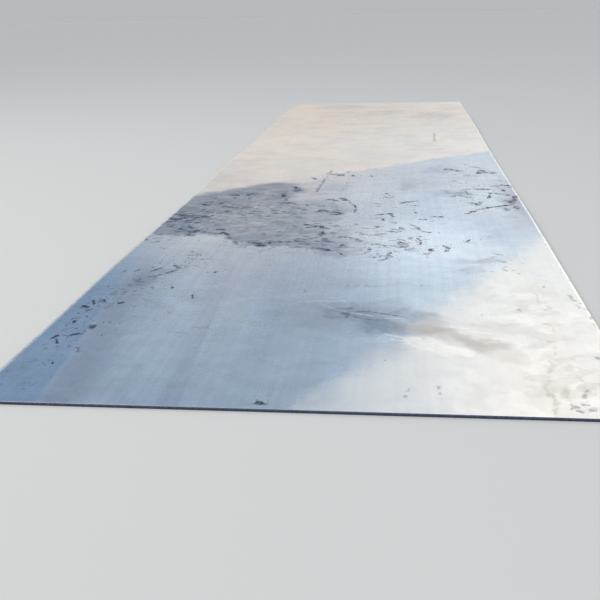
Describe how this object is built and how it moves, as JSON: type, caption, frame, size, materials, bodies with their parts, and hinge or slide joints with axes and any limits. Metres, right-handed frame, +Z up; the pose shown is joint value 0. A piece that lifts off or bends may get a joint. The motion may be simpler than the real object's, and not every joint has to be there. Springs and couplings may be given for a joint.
{
  "type": "steel plate",
  "caption": "Hot-rolled flat steel plate with mill-scale faces, convex rolled long sides with low edge waves, and sheared ends.",
  "frame": {"origin": "middle of the underside, on the floor that the plate lies on", "axes": "+Y along the length, which is the rolling direction; +X across the width; +Z up through the thickness"},
  "size_m": [1.5, 6, 0.0184],
  "materials": {
    "mill_scale_steel": "hot-rolled mill scale, blue-grey and semi-gloss, with light rust and dirt"
  },
  "bodies": {
    "root": {"steel_plate": "mill_scale_steel"}
  },
  "joints": []
}
